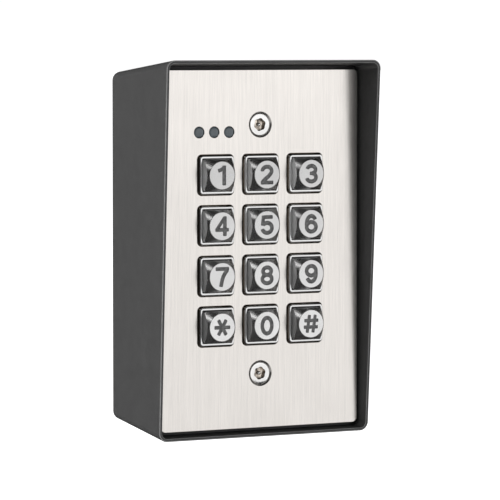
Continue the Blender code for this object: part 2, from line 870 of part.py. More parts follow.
make_housing(new_material("black_powder_coat", (0.035, 0.036, 0.038), 0.55))
make_plate_gasket(new_material("gasket_foam", (0.02, 0.02, 0.02), 0.90))
make_faceplate(new_material("brushed_stainless", (0.74, 0.72, 0.70), 0.30, 1.0))
make_key_frame(new_material("bright_chrome", (0.80, 0.79, 0.79), 0.08, 1.0))
make_keys(new_material("satin_nickel", (0.70, 0.70, 0.69), 0.28, 1.0))
make_key_mat(new_material("grey_silicone", (0.30, 0.31, 0.32), 0.60))
board_green = new_material("board_green", (0.02, 0.12, 0.05), 0.45)
make_key_board(board_green)
make_lenses(
    new_material("smoked_lens", (0.11, 0.13, 0.15), 0.20),
    new_material("led_epoxy", (0.75, 0.74, 0.68), 0.15),
)
steel = new_material("zinc_plated_steel", (0.62, 0.63, 0.64), 0.35, 1.0)
black_plastic = new_material("black_plastic", (0.03, 0.03, 0.03), 0.45)
make_studs_spacers_and_nuts(
    new_material("stud_steel", (0.60, 0.60, 0.60), 0.30, 1.0),
    new_material("white_nylon", (0.78, 0.77, 0.72), 0.50),
    steel,
)
make_controller(
    board_green,
    black_plastic,
    new_material("relay_blue", (0.03, 0.12, 0.40), 0.40),
    new_material("terminal_green", (0.04, 0.30, 0.12), 0.45),
)
make_screws_and_inserts(
    new_material("polished_stainless", (0.86, 0.85, 0.84), 0.12, 1.0),
    new_material("brass", (0.78, 0.57, 0.25), 0.30, 1.0),
)
make_cable_grommet(new_material("black_rubber", (0.025, 0.025, 0.025), 0.80))
make_tamper_switch(black_plastic, new_material("plunger_white", (0.80, 0.79, 0.75), 0.40))
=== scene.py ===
"""The looks of the keypad access reader: its visible pieces, their finishes, the studio and the camera.

Metres, +Z up, the front faces -Y, and the origin is the centre of the back face.
"""

import math

import bmesh
import bpy
from mathutils import Matrix, Vector


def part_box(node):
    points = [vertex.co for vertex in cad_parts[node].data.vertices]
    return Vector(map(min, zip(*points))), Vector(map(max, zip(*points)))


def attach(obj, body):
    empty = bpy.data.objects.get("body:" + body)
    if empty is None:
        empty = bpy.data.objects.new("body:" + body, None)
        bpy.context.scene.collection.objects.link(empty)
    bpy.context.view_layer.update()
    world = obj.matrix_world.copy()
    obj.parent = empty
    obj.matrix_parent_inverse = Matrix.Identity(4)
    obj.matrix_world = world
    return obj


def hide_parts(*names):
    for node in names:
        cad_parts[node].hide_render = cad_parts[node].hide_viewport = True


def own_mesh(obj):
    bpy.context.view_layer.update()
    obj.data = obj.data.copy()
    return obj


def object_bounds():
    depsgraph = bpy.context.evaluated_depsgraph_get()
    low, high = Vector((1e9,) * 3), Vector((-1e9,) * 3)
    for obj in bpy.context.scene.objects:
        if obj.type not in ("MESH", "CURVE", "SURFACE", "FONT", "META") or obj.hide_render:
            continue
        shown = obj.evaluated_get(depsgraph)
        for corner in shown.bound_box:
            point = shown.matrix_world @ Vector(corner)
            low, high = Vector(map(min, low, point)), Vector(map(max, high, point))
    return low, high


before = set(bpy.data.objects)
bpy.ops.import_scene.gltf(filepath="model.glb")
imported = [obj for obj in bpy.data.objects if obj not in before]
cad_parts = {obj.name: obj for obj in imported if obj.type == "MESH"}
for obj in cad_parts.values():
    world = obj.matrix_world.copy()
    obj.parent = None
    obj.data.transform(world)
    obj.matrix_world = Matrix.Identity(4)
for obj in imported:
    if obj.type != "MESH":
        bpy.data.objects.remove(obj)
cad_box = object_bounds()
MM = 0.001

# Camera
CAMERA_AZIMUTH = math.radians(-27.85)
CAMERA_ELEVATION = math.radians(3.49)
CAMERA_DISTANCE = 1157.2 * MM
CAMERA_RIGHT = -3.441 * MM  # from the plate's middle
CAMERA_UP = -0.293 * MM
CAMERA_LENS = 249.0

# Places along the depth, from the pieces that set them
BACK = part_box("housing")[1].y
HOOD_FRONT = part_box("housing")[0].y
PLATE_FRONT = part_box("faceplate")[0].y
PLATE_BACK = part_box("faceplate")[1].y
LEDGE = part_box("insert_top")[0].y

# Housing
FLARE = 0.082  # widening of each side for each unit of depth
HOOD_BOTTOM = 3.6 * MM
HOUSING_CORNER = 3.0 * MM
RIM_WALL = 1.1 * MM
RIM_ROUND = 0.4 * MM
RIM_INNER_ROUND = 0.2 * MM
LIP_TURN = (6.0, 50.0)  # degrees from the lip's crest where a painted highlight lies
BACK_ROUND = 0.35 * MM
BACK_WALL = 2.4 * MM
POCKET_WALL = 2.6 * MM
POCKET_CORNER = 2.0 * MM
POST_RADIUS = 4.75 * MM
POST_BORE_DEPTH = 13.0 * MM
RIB_THICKNESS = 2.0 * MM
MOUNT_HOLE = 2.3 * MM  # radius, as for each hole here
MOUNT_HOLE_X = 24.0 * MM
MOUNT_HOLE_Z = 46.0 * MM
CABLE_HOLE = 6.5 * MM
SIDE_GAP = 1.0 * MM
END_GAP = 1.3 * MM
FIT_GAP = 0.1 * MM
HOLE_GAP = 0.3 * MM
OVERRUN = 2.0 * MM  # how far a cutter runs past what it cuts

# Plate, collars and keys
PLATE_CORNER = 1.8 * MM
PLATE_ROUND = 0.12 * MM
OPENING_ROUND = 0.08 * MM
LENS_HOLE_ROUND = 0.1 * MM
COUNTERSINK_ROUND = 0.05 * MM
SEAT_GAP = 0.3 * MM  # between the plate's back and the frame's front
COLLAR_GAP = 0.15 * MM
COLLAR_SIDE = 13.4 * MM
COLLAR_WALL = 1.25 * MM
COLLAR_CORNER = 1.5 * MM
COLLAR_STAND = 1.25 * MM
COLLAR_SLOPE = 0.62 * MM  # how far its outer side leans in
COLLAR_CURVE = 2.1  # how fast its outer side turns over towards the crest
COLLAR_STEPS = 10
COLLAR_INNER_ROUND = 0.22 * MM
FOOT_SHARES = (0.8, 0.5)  # of the stand, where the chrome turns from bright to a painted dark reflection
FRAME_BASE = 1.5 * MM
FRAME_CORNER = 1.5 * MM
FRAME_OPENING_CORNER = 0.5 * MM
KEY_SIDE = 10.4 * MM
KEY_CORNER = 0.5 * MM
KEY_FACE = 4.73 * MM
KEY_FACE_ROUND = 0.16 * MM
KEY_CONE_SLOPE = 1.05
KEY_FLANGE_SIDE = 12.6 * MM
KEY_FLANGE = 1.0 * MM
LEGEND_PEN = 1.4 * MM
LEGEND_CORNER = 0.28 * MM
LEGEND_DEPTH = 0.32 * MM
LEGEND_CURVE = 0.7  # how fast a stroke's bottom rounds over

# Screws and lenses
COUNTERSINK = 4.31 * MM
SCREW_HEAD = 3.62 * MM
SCREW_RADIUS = 1.75 * MM
SCREW_CONE = math.radians(41)
SCREW_ROUND = 0.14 * MM
SCREW_TIP = 0.5 * MM
THREAD_PITCH = 0.5 * MM
THREAD_DEPTH = 0.3 * MM
STAR_RADIUS = 1.98 * MM
STAR_LOBES = 6
STAR_SHARE = 0.06  # of the radius, which each lobe adds
STAR_TURN = math.radians(18)
STAR_DEPTH = 1.2 * MM
STAR_MOUTH = 0.1 * MM
PIN_RADIUS = 0.6 * MM
PIN_BELOW_HEAD = 0.3 * MM
LENS_DOME = 0.25 * MM
LENS_FLANGE = 0.5 * MM
LENS_FLANGE_THICKNESS = 0.8 * MM

# Grommet and plunger
GROMMET_BORE = 4.0 * MM
GROMMET_FLANGE = 1.2 * MM
GROMMET_LIP = 0.5 * MM
PLUNGER_RADIUS = 1.2 * MM

# Switch mat
MAT_SHEET = 0.9 * MM
MAT_CORNER = 0.4 * MM
DOME_BASE = 4.6 * MM
DOME_TOP = 3.2 * MM
DOME_WALL = 0.7 * MM
DOME_ROUND = 0.2 * MM

# Studio: the pairs say where a wall begins and where it is full, along a direction of length one
ROOM_GLOW = 0.028
SOFT_GLOW = 0.42
WALL_GLOW = 0.40
LOW_WALL_UP = (-0.10, -0.28)
LOW_WALL_ALONG = (-0.50, -0.64)
FRONT_WALL_ALONG = (-0.93, -0.985)
DARK_CARD = 0.466  # the middle of a dark card to the right
DARK_CARD_HALF = (0.06, 0.14)  # from its middle to where it ends and to where the wall is full
FLOOR_SIZE = 30.0
FLOOR_DROP = 0.19  # below the reader

KEYS = [f"key_{legend}" for legend in (*"1234567890", "star", "hash")]
LENSES = ["lens_left", "lens_middle", "lens_right"]
SCREWS = ["screw_top", "screw_bottom"]
STUDS = [f"stud_{place}" for place in ("top_left", "top_right", "bottom_left", "bottom_right")]


def middle(node):
    """The middle of a node's box across the front."""
    low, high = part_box(node)
    return (low.x + high.x) / 2, (low.z + high.z) / 2


def half_span(node):
    """Half of a node's width and half of its height."""
    low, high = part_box(node)
    return (high.x - low.x) / 2, (high.z - low.z) / 2


# Half of the housing's width and height, where the plate's front lies
HALF_WIDTH = half_span("faceplate")[0] + SIDE_GAP + RIM_WALL
HALF_HEIGHT = half_span("faceplate")[1] + END_GAP + RIM_WALL
LENS_RADIUS = half_span("lens_middle")[0] - LENS_FLANGE

# Mesh work


def rounded_outline(half_width, half_height, corner, steps=8, at=(0.0, 0.0)):
    """Points across the front, round a rectangle with rounded corners."""
    outline = []
    for quarter, (right, up) in enumerate(((1, 1), (-1, 1), (-1, -1), (1, -1))):
        for step in range(steps + 1):
            turn = math.radians(90) * (quarter + step / steps)
            x = right * (half_width - corner) + corner * math.cos(turn)
            z = up * (half_height - corner) + corner * math.sin(turn)
            outline.append((at[0] + x, at[1] + z))
    return outline


def at_depth(outline, depth):
    return [(x, depth, z) for x, z in outline]


def skin(loops, closed=False):
    """A surface through outlines of equally many points, with filled ends or joined into a ring."""
    shape = bmesh.new()
    rows = [[shape.verts.new(point) for point in loop] for loop in loops]
    if closed:
        rows.append(rows[0])
    for row, after in zip(rows, rows[1:]):
        for index in range(len(row)):
            shape.faces.new((row[index - 1], row[index], after[index], after[index - 1]))
    if not closed:
        shape.faces.new(rows[0])
        shape.faces.new(rows[-1])
    bmesh.ops.remove_doubles(shape, verts=shape.verts, dist=1e-7)
    bmesh.ops.recalc_face_normals(shape, faces=shape.faces)
    return shape


def turned(profile, segments, at, share=lambda turn: 1.0, closed=False):
    """A turned shape from (radius, depth) pairs; share scales the radius at each angle."""
    loops = []
    for radius, depth in profile:
        loop = []
        for index in range(segments):
            turn = math.tau * index / segments
            out = radius * share(turn)
            loop.append((at[0] + out * math.cos(turn), depth, at[1] + out * math.sin(turn)))
        loops.append(loop)
    return skin(loops, closed)


def arc(radius, steps):
    """Pairs that go round a quarter circle: how far in from its side, and how far on towards its top."""
    turns = [math.radians(90) * step / steps for step in range(steps + 1)]
    return [(radius * (1 - math.cos(turn)), radius * math.sin(turn)) for turn in turns]


def domed(radius, rise, front, steps):
    """Radius and depth pairs that curve back from a front on the axis out to a radius."""
    turns = [math.radians(90) * step / steps for step in range(steps + 1)]
    return [(radius * math.sin(turn), front + rise * (1 - math.cos(turn))) for turn in turns]


def gathered(shapes):
    """Separate shapes in one mesh."""
    together = bmesh.new()
    for shape in shapes:
        mesh = bpy.data.meshes.new("shape")
        shape.to_mesh(mesh)
        shape.free()
        together.from_mesh(mesh)
        bpy.data.meshes.remove(mesh)
    return together


def new_object(name, shape, materials=()):
    mesh = bpy.data.meshes.new(name)
    shape.to_mesh(mesh)
    shape.free()
    obj = bpy.data.objects.new(name, mesh)
    bpy.context.scene.collection.objects.link(obj)
    for material in materials:
        mesh.materials.append(material)
    return obj


def carve(piece, shape, operation="DIFFERENCE", material=None):
    """Cut a shape from a piece, join one to it, or keep what they share; cut faces take the material."""
    tool = new_object("tool", shape, [] if material is None else [material])
    modifier = piece.modifiers.new("carve", "BOOLEAN")
    modifier.operation = operation
    modifier.solver = "EXACT"
    modifier.object = tool
    if material is not None:
        modifier.material_mode = "TRANSFER"
    settle(piece)
    bpy.data.objects.remove(tool)


def settle(piece):
    """Make a piece's modifiers part of its mesh."""
    bpy.context.view_layer.update()
    graph = bpy.context.evaluated_depsgraph_get()
    mesh = bpy.data.meshes.new_from_object(piece.evaluated_get(graph))
    piece.modifiers.clear()
    piece.data = mesh


def fit(piece, node, body="case", sharp=32):
    """Give a piece its shading, and let it stand for its node on its body."""
    piece.data.shade_smooth()
    piece.data.set_sharp_from_angle(angle=math.radians(sharp))
    flatness = piece.modifiers.new("flatness", "WEIGHTED_NORMAL")
    flatness.keep_sharp = True
    flatness.weight = 100
    settle(piece)
    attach(piece, body)
    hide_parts(node)
    return piece


# Finishes

# Turns of the noise in a metre along each axis, for the brushed metal's lines and its broad streaks
LINE_SPREAD = (4200.0, 4200.0, 90.0)
STREAK_SPREAD = (1700.0, 1700.0, 20.0)
STREAK_SHARE = 0.4


class Wiring:
    """Short words for adding nodes to a tree and joining them."""

    def __init__(self, tree):
        self.tree = tree

    def add(self, kind, inputs=None, **settings):
        node = self.tree.nodes.new(kind)
        for name, value in settings.items():
            setattr(node, name, value)
        for name, value in (inputs or {}).items():
            self.feed(node.inputs[name], value)
        return node

    def feed(self, socket, value):
        if isinstance(value, bpy.types.NodeSocket):
            self.tree.links.new(value, socket)
        else:
            socket.default_value = value

    def math(self, operation, first, second=0.0, third=0.0):
        node = self.add("ShaderNodeMath", operation=operation)
        for socket, value in zip(node.inputs, (first, second, third)):
            self.feed(socket, value)
        return node.outputs[0]

    def span(self, value, low, high, to_low=0.0, to_high=1.0):
        inputs = {
            "Value": value,
            "From Min": low,
            "From Max": high,
            "To Min": to_low,
            "To Max": to_high,
        }
        return self.add("ShaderNodeMapRange", inputs).outputs[0]

    def blend(self, share, first, second):
        node = self.add("ShaderNodeMix", data_type="RGBA")
        for index, value in ((0, share), (6, first), (7, second)):
            self.feed(node.inputs[index], value)
        return node.outputs[2]


def new_group(name, inputs, outputs):
    """An empty shader group, its wiring, its input node and its output node."""
    tree = bpy.data.node_groups.new(name, "ShaderNodeTree")
    for label, value in inputs.items():
        socket = tree.interface.new_socket(label, in_out="INPUT", socket_type="NodeSocketFloat")
        socket.default_value = value
    for label in outputs:
        tree.interface.new_socket(label, in_out="OUTPUT", socket_type="NodeSocketFloat")
    wires = Wiring(tree)
    return tree, wires, wires.add("NodeGroupInput"), wires.add("NodeGroupOutput")


def make_fine_grain():
    """A cast or moulded skin: its fine height, and cloudy patches of tone."""
    tree, wires, given, out = new_group("fine_grain", {"Scale": 900.0}, ("Height", "Patches"))
    place = wires.add("ShaderNodeTexCoord").outputs["Object"]
    pits = wires.add(
        "ShaderNodeTexNoise",
        {"Vector": place, "Scale": given.outputs["Scale"], "Detail": 3.0, "Roughness": 0.6},
    )
    patches = wires.add(
        "ShaderNodeTexNoise",
        {
            "Vector": place,
            "Scale": wires.math("MULTIPLY", given.outputs["Scale"], 0.06),
            "Detail": 2.0,
        },
    )
    wires.feed(out.inputs["Height"], pits.outputs[0])
    wires.feed(out.inputs["Patches"], wires.span(patches.outputs[0], 0.3, 0.7))
    return tree


def make_brushed_grain():
    """Long fine lines that run up the metal: their height, and light and dark streaks."""
    tree, wires, given, out = new_group("brushed_grain", {"Scale": 1.0}, ("Height", "Streaks"))
    place = wires.add("ShaderNodeTexCoord").outputs["Object"]
    line_place = wires.add("ShaderNodeVectorMath", operation="MULTIPLY")
    wires.feed(line_place.inputs[0], place)
    line_place.inputs[1].default_value = LINE_SPREAD
    lines = wires.add(
        "ShaderNodeTexNoise",
        {"Vector": line_place.outputs[0], "Scale": given.outputs["Scale"], "Detail": 4.0},
    )
    broad_place = wires.add("ShaderNodeVectorMath", operation="MULTIPLY")
    wires.feed(broad_place.inputs[0], place)
    broad_place.inputs[1].default_value = STREAK_SPREAD
    broad = wires.add(
        "ShaderNodeTexNoise",
        {"Vector": broad_place.outputs[0], "Scale": given.outputs["Scale"], "Detail": 3.0},
    )
    wires.feed(out.inputs["Height"], lines.outputs[0])
    fine_share = wires.math("MULTIPLY", lines.outputs[0], 1 - STREAK_SHARE)
    mixed = wires.math("MULTIPLY_ADD", broad.outputs[0], STREAK_SHARE, fine_share)
    wires.feed(out.inputs["Streaks"], wires.span(mixed, 0.35, 0.65))
    return tree


def make_edge_wear_and_sheen():
    """A mask that is bright along outer edges within a reach."""
    tree, wires, given, out = new_group("edge_wear_and_sheen", {"Reach": 0.3 * MM}, ("Mask",))
    soft = wires.add("ShaderNodeBevel", {"Radius": given.outputs["Reach"]}, samples=4)
    true = wires.add("ShaderNodeNewGeometry").outputs["Normal"]
    same = wires.add("ShaderNodeVectorMath", operation="DOT_PRODUCT")
    wires.feed(same.inputs[0], soft.outputs[0])
    wires.feed(same.inputs[1], true)
    wires.feed(out.inputs["Mask"], wires.span(same.outputs["Value"], 0.995, 0.85))
    return tree


def make_handling():
    """Faint marks of handling, as broad uneven patches."""
    tree, wires, given, out = new_group("handling", {"Scale": 60.0}, ("Smears",))
    place = wires.add("ShaderNodeTexCoord").outputs["Object"]
    smears = wires.add(
        "ShaderNodeTexNoise",
        {"Vector": place, "Scale": given.outputs["Scale"], "Detail": 5.0, "Distortion": 0.6},
    )
    wires.feed(out.inputs["Smears"], wires.span(smears.outputs[0], 0.35, 0.7))
    return tree


fine_grain = make_fine_grain()
brushed_grain = make_brushed_grain()
edge_wear_and_sheen = make_edge_wear_and_sheen()
handling = make_handling()


def grey(value, warmth=0.0):
    """A grey as a colour, a little redder than blue where warmth is above nought."""
    return (value * (1 + warmth), value, value * (1 - warmth), 1.0)


def place_group(wires, tree, **inputs):
    node = wires.add("ShaderNodeGroup")
    node.node_tree = tree
    for name, value in inputs.items():
        wires.feed(node.inputs[name], value)
    return node


def make_finish(
    name,
    colour,
    second,
    roughness,
    metallic=0.0,
    worn_and_sheen=None,
    reach=0.2 * MM,
    grain=900.0,
    depth=0.02 * MM,
    strength=0.3,
    brushed=False,
    sockets=None,
):
    """A finish: two tones and a roughness that vary over it, fine grain, and edges of another colour, for
    wear and, on the housing, also for a painted highlight.
    """
    material = bpy.data.materials.new(name)
    material.use_nodes = True
    wires = Wiring(material.node_tree)
    shader = material.node_tree.nodes["Principled BSDF"]
    shader.inputs["Metallic"].default_value = metallic
    for socket, value in (sockets or {}).items():
        shader.inputs[socket].default_value = value
    grain_group = place_group(wires, brushed_grain if brushed else fine_grain, Scale=grain)
    marks = place_group(wires, handling)
    painted = wires.blend(grain_group.outputs["Streaks" if brushed else "Patches"], colour, second)
    if worn_and_sheen is not None:
        mask = place_group(wires, edge_wear_and_sheen, Reach=reach).outputs["Mask"]
        painted = wires.blend(mask, painted, worn_and_sheen)
    wires.feed(shader.inputs["Base Color"], painted)
    low, high = roughness
    rough = wires.span(marks.outputs["Smears"], 0.0, 1.0, low, high)
    wires.feed(shader.inputs["Roughness"], rough)
    bump = wires.add(
        "ShaderNodeBump",
        {"Strength": strength, "Distance": depth, "Height": grain_group.outputs["Height"]},
    )
    wires.feed(shader.inputs["Normal"], bump.outputs[0])
    return material


def set_tangent(material):
    """Let a brushed metal's gloss spread across its lines."""
    wires = Wiring(material.node_tree)
    tangent = wires.add("ShaderNodeTangent", direction_type="RADIAL", axis="Z")
    wires.feed(material.node_tree.nodes["Principled BSDF"].inputs["Tangent"], tangent.outputs[0])


# The housing's lighter edges are partly wear and partly a painted highlight along them.
powder_coat = make_finish(
    "powder_coat",
    grey(0.043),
    grey(0.047),
    (0.38, 0.46),
    worn_and_sheen=grey(0.10),
    reach=0.3 * MM,
    grain=2600.0,
    depth=0.05 * MM,
    strength=0.45,
)
# A lighter paint for the lip's rounded edges: a painted highlight where they would catch the light.
painted_lip_highlight = make_finish(
    "painted_lip_highlight",
    grey(0.17),
    grey(0.22),
    (0.3, 0.4),
    grain=2600.0,
    depth=0.05 * MM,
    strength=0.3,
)
plate_metal = make_finish(
    "brushed_stainless",
    grey(0.78, 0.045),
    grey(0.86, 0.045),
    (0.19, 0.23),
    metallic=1.0,
    worn_and_sheen=grey(0.92, 0.04),
    reach=0.1 * MM,
    grain=1.0,
    depth=0.004 * MM,
    strength=0.25,
    brushed=True,
    sockets={"Anisotropic": 0.5},
)
set_tangent(plate_metal)
chrome = make_finish(
    "bright_chrome",
    grey(0.84),
    grey(0.88),
    (0.04, 0.09),
    metallic=1.0,
    grain=500.0,
    depth=0.01 * MM,
    strength=0.05,
)


def paint_shade_along(material, axis, start, end, colour):
    """Paint shade into a finish: let it turn into another colour between two places along an axis."""
    wires = Wiring(material.node_tree)
    base = material.node_tree.nodes["Principled BSDF"].inputs["Base Color"]
    painted = base.links[0].from_socket
    place = wires.add("ShaderNodeTexCoord").outputs["Object"]
    along = wires.add("ShaderNodeSeparateXYZ", {"Vector": place}).outputs[axis]
    wires.feed(base, wires.blend(wires.span(along, start, end), painted, colour))


# Painted dark reflection: the chrome turns dark brown towards each collar's foot.
bright, dark = (PLATE_FRONT - share * COLLAR_STAND for share in FOOT_SHARES)
paint_shade_along(chrome, "Y", bright, dark, grey(0.15, 0.2))
key_metal = make_finish(
    "satin_metal",
    grey(0.84, 0.005),
    grey(0.90, 0.005),
    (0.24, 0.30),
    metallic=1.0,
    worn_and_sheen=grey(0.92),
    reach=0.12 * MM,
    grain=1800.0,
    depth=0.02 * MM,
    strength=0.2,
)
# Painted shade: the key discs turn darker towards the top row.
paint_shade_along(key_metal, "Z", middle("key_0")[1], middle("key_2")[1], grey(0.66, 0.005))
key_flank = make_finish(
    "satin_flank",
    grey(0.80),
    grey(0.86),
    (0.38, 0.46),
    metallic=0.3,
    grain=1800.0,
    depth=0.02 * MM,
    strength=0.2,
)
# Painted shade: the key flats turn darker towards the bottom row.
paint_shade_along(key_flank, "Z", middle("key_2")[1], middle("key_0")[1], grey(0.36))
legend_paint = make_finish(
    "legend_paint",
    grey(0.09),
    grey(0.20),
    (0.30, 0.5),
    grain=20000.0,
    depth=0.03 * MM,
    strength=0.5,
)
smoked_lens = make_finish(
    "smoked_lens",
    (0.085, 0.105, 0.12, 1.0),
    (0.10, 0.125, 0.14, 1.0),
    (0.16, 0.24),
    worn_and_sheen=(0.05, 0.045, 0.04, 1.0),
    reach=0.35 * MM,
    grain=1200.0,
    depth=0.01 * MM,
    strength=0.1,
    sockets={"Coat Weight": 0.5, "Coat Roughness": 0.1},
)
screw_metal = make_finish(
    "polished_stainless",
    grey(0.88, 0.01),
    grey(0.92, 0.01),
    (0.10, 0.16),
    metallic=1.0,
    grain=1500.0,
    depth=0.01 * MM,
    strength=0.1,
)
# The screw's recess: a dark base, partly a duller finish and partly painted shade in the hollow, with pale
# blotches as painted glints.
recess_metal = make_finish(
    "recess_metal",
    grey(0.03, 0.25),
    grey(0.85, 0.12),
    (0.2, 0.35),
    metallic=1.0,
    grain=14000.0,
    depth=0.02 * MM,
    strength=0.6,
)
rubber = make_finish(
    "black_rubber",
    grey(0.022),
    grey(0.03),
    (0.55, 0.75),
    worn_and_sheen=grey(0.05),
    grain=1600.0,
    depth=0.04 * MM,
    strength=0.4,
)
black_plastic = make_finish(
    "black_plastic",
    grey(0.02),
    grey(0.028),
    (0.30, 0.45),
    worn_and_sheen=grey(0.05),
    grain=1400.0,
    depth=0.03 * MM,
    strength=0.3,
)
foam = make_finish(
    "gasket_foam", grey(0.02), grey(0.035), (0.8, 0.95), grain=3000.0, depth=0.1 * MM, strength=0.8
)
silicone = make_finish(
    "grey_silicone", grey(0.27), grey(0.31), (0.45, 0.6), grain=1200.0, depth=0.03 * MM, strength=0.3
)
nylon = make_finish(
    "white_nylon", grey(0.70, 0.03), grey(0.76, 0.03), (0.4, 0.5), worn_and_sheen=grey(0.8, 0.02), grain=1200.0
)
zinc = make_finish(
    "zinc_plate",
    grey(0.58, 0.01),
    grey(0.68, 0.02),
    (0.25, 0.4),
    metallic=1.0,
    worn_and_sheen=grey(0.8),
    grain=1600.0,
)
steel = make_finish(
    "stud_steel",
    grey(0.52),
    grey(0.60),
    (0.25, 0.4),
    metallic=1.0,
    worn_and_sheen=grey(0.75),
    grain=1.0,
    brushed=True,
)
brass = make_finish(
    "brass",
    (0.70, 0.48, 0.20, 1.0),
    (0.80, 0.58, 0.28, 1.0),
    (0.22, 0.36),
    metallic=1.0,
    worn_and_sheen=(0.9, 0.7, 0.4, 1.0),
    grain=1500.0,
)
plunger_white = make_finish(
    "plunger_white", grey(0.72, 0.02), grey(0.78, 0.02), (0.3, 0.42), worn_and_sheen=grey(0.85), grain=1200.0
)
relay_blue = make_finish(
    "relay_blue",
    (0.02, 0.09, 0.34, 1.0),
    (0.03, 0.12, 0.40, 1.0),
    (0.3, 0.4),
    worn_and_sheen=(0.1, 0.2, 0.5, 1.0),
    grain=1100.0,
)
terminal_green = make_finish(
    "terminal_green",
    (0.03, 0.24, 0.09, 1.0),
    (0.04, 0.30, 0.12, 1.0),
    (0.35, 0.45),
    worn_and_sheen=(0.1, 0.4, 0.2, 1.0),
    grain=1100.0,
)
led_epoxy = make_finish(
    "led_epoxy", grey(0.68, 0.04), grey(0.76, 0.04), (0.08, 0.16), grain=900.0, sockets={"Coat Weight": 0.4}
)


def make_board_finish():
    """Green lacquer over woven glass, with the paler lines of the copper below it."""
    material = make_finish(
        "board_green",
        (0.012, 0.085, 0.035, 1.0),
        (0.018, 0.115, 0.045, 1.0),
        (0.28, 0.42),
        worn_and_sheen=(0.35, 0.30, 0.12, 1.0),
        reach=0.15 * MM,
        grain=1500.0,
        sockets={"Coat Weight": 0.3},
    )
    wires = Wiring(material.node_tree)
    shader = material.node_tree.nodes["Principled BSDF"]
    painted = shader.inputs["Base Color"].links[0].from_socket
    place = wires.add("ShaderNodeTexCoord").outputs["Object"]
    tracks = wires.add(
        "ShaderNodeTexBrick",
        {
            "Vector": place,
            "Scale": 160.0,
            "Mortar Size": 0.06,
            "Color1": grey(0.0),
            "Color2": grey(0.0),
            "Mortar": grey(1.0),
        },
    )
    wires.feed(
        shader.inputs["Base Color"],
        wires.blend(wires.math("MULTIPLY", tracks.outputs[0], 0.35), painted, (0.05, 0.22, 0.08, 1.0)),
    )
    return material


board_green = make_board_finish()

# Housing


def half_sizes(depth, inset=0.0):
    """Half the housing's width and height at a depth, set in from its outside."""
    out = FLARE * (PLATE_FRONT - depth) - inset
    return HALF_WIDTH + out, HALF_HEIGHT + out


def hood_loop(inset, behind, corner):
    """An outline in the hood's slanted front, set in from the outside and back from the front."""
    top, bottom = HOOD_FRONT, PLATE_FRONT - HOOD_BOTTOM
    high, low = half_sizes(top)[1], -half_sizes(bottom)[1]
    depths = [PLATE_FRONT] * len(rounded_outline(HALF_WIDTH, HALF_HEIGHT, corner))
    for _ in range(4):
        loop = []
        for index, depth in enumerate(depths):
            width, height = half_sizes(depth, inset)
            x, z = rounded_outline(width, height, corner)[index]
            share = (high - z) / (high - low)
            loop.append((x, top + share * (bottom - top) + behind, z))
        depths = [point[1] for point in loop]
    return loop


def paint_lip_highlight(shape):
    """Give the lip's rounded edges a painted highlight, a lighter material in slot 1, by how far each face
    turns from the crest's.
    """
    slant = math.atan2(HOOD_FRONT - PLATE_FRONT + HOOD_BOTTOM, 2 * HALF_HEIGHT)
    crest = Vector((0.0, -math.cos(slant), math.sin(slant)))
    for face in shape.faces:
        turn = math.degrees(face.normal.angle(crest))
        if face.calc_center_median().y < PLATE_FRONT - HOOD_BOTTOM / 2 and LIP_TURN[0] < turn < LIP_TURN[1]:
            # Slot 1 holds the lip's painted highlight.
            face.material_index = 1


def housing_shell():
    """The walls, from the edge of the back round the hood's lip and down into the pocket."""
    loops = []
    for inset, on in reversed(arc(BACK_ROUND, 3)):
        width, height = half_sizes(BACK, inset)
        outline = rounded_outline(width, height, HOUSING_CORNER - inset)
        loops.append(at_depth(outline, BACK - BACK_ROUND + on))
    for inset, on in arc(RIM_ROUND, 5):
        loops.append(hood_loop(inset, RIM_ROUND - on, HOUSING_CORNER - inset))
    for inset, on in reversed(arc(RIM_INNER_ROUND, 3)):
        corner = HOUSING_CORNER - RIM_WALL + inset
        loops.append(hood_loop(RIM_WALL - inset, RIM_INNER_ROUND - on, corner))
    width, height = half_sizes(LEDGE, RIM_WALL)
    loops.append(at_depth(rounded_outline(width, height, HOUSING_CORNER - RIM_WALL), LEDGE))
    width, height = half_sizes(BACK, POCKET_WALL)
    pocket = rounded_outline(width, height, POCKET_CORNER)
    loops.append(at_depth(pocket, LEDGE))
    loops.append(at_depth(pocket, BACK - BACK_WALL))
    shape = skin(loops)
    paint_lip_highlight(shape)
    return shape


def posts_and_ribs(places):
    """A post round each screw's insert, and a rib from it to the nearest end wall."""
    foot = BACK - BACK_WALL / 2
    shapes = [turned([(POST_RADIUS, LEDGE), (POST_RADIUS, foot)], 48, at) for at in places]
    rib_end = half_sizes(BACK, POCKET_WALL)[1] + POCKET_WALL / 2
    for x, z in places:
        half_length = (rib_end - abs(z)) / 2
        at = (x, math.copysign(abs(z) + half_length, z))
        outline = rounded_outline(RIB_THICKNESS / 2, half_length, RIB_THICKNESS / 5, 2, at)
        shapes.append(skin([at_depth(outline, LEDGE + OVERRUN), at_depth(outline, foot)]))
    return shapes


def housing_holes(places):
    """Cutters for the inserts, the mounting screws, the cable's grommet and the tamper plunger."""
    bore = half_span("insert_top")[0] + FIT_GAP
    cuts = [turned([(bore, LEDGE - OVERRUN), (bore, LEDGE + POST_BORE_DEPTH)], 48, at) for at in places]
    holes = [
        (MOUNT_HOLE, (x, z)) for x in (-MOUNT_HOLE_X, MOUNT_HOLE_X) for z in (-MOUNT_HOLE_Z, MOUNT_HOLE_Z)
    ]
    holes.append((CABLE_HOLE, middle("cable_grommet")))
    holes.append((PLUNGER_RADIUS + HOLE_GAP, middle("tamper_plunger")))
    for radius, at in holes:
        profile = [
            (radius, BACK - BACK_WALL - OVERRUN),
            (radius, BACK - BACK_ROUND),
            (radius + BACK_ROUND, BACK),
            (radius + BACK_ROUND + OVERRUN, BACK + OVERRUN),
        ]
        cuts.append(turned(profile, 48, at))
    return cuts


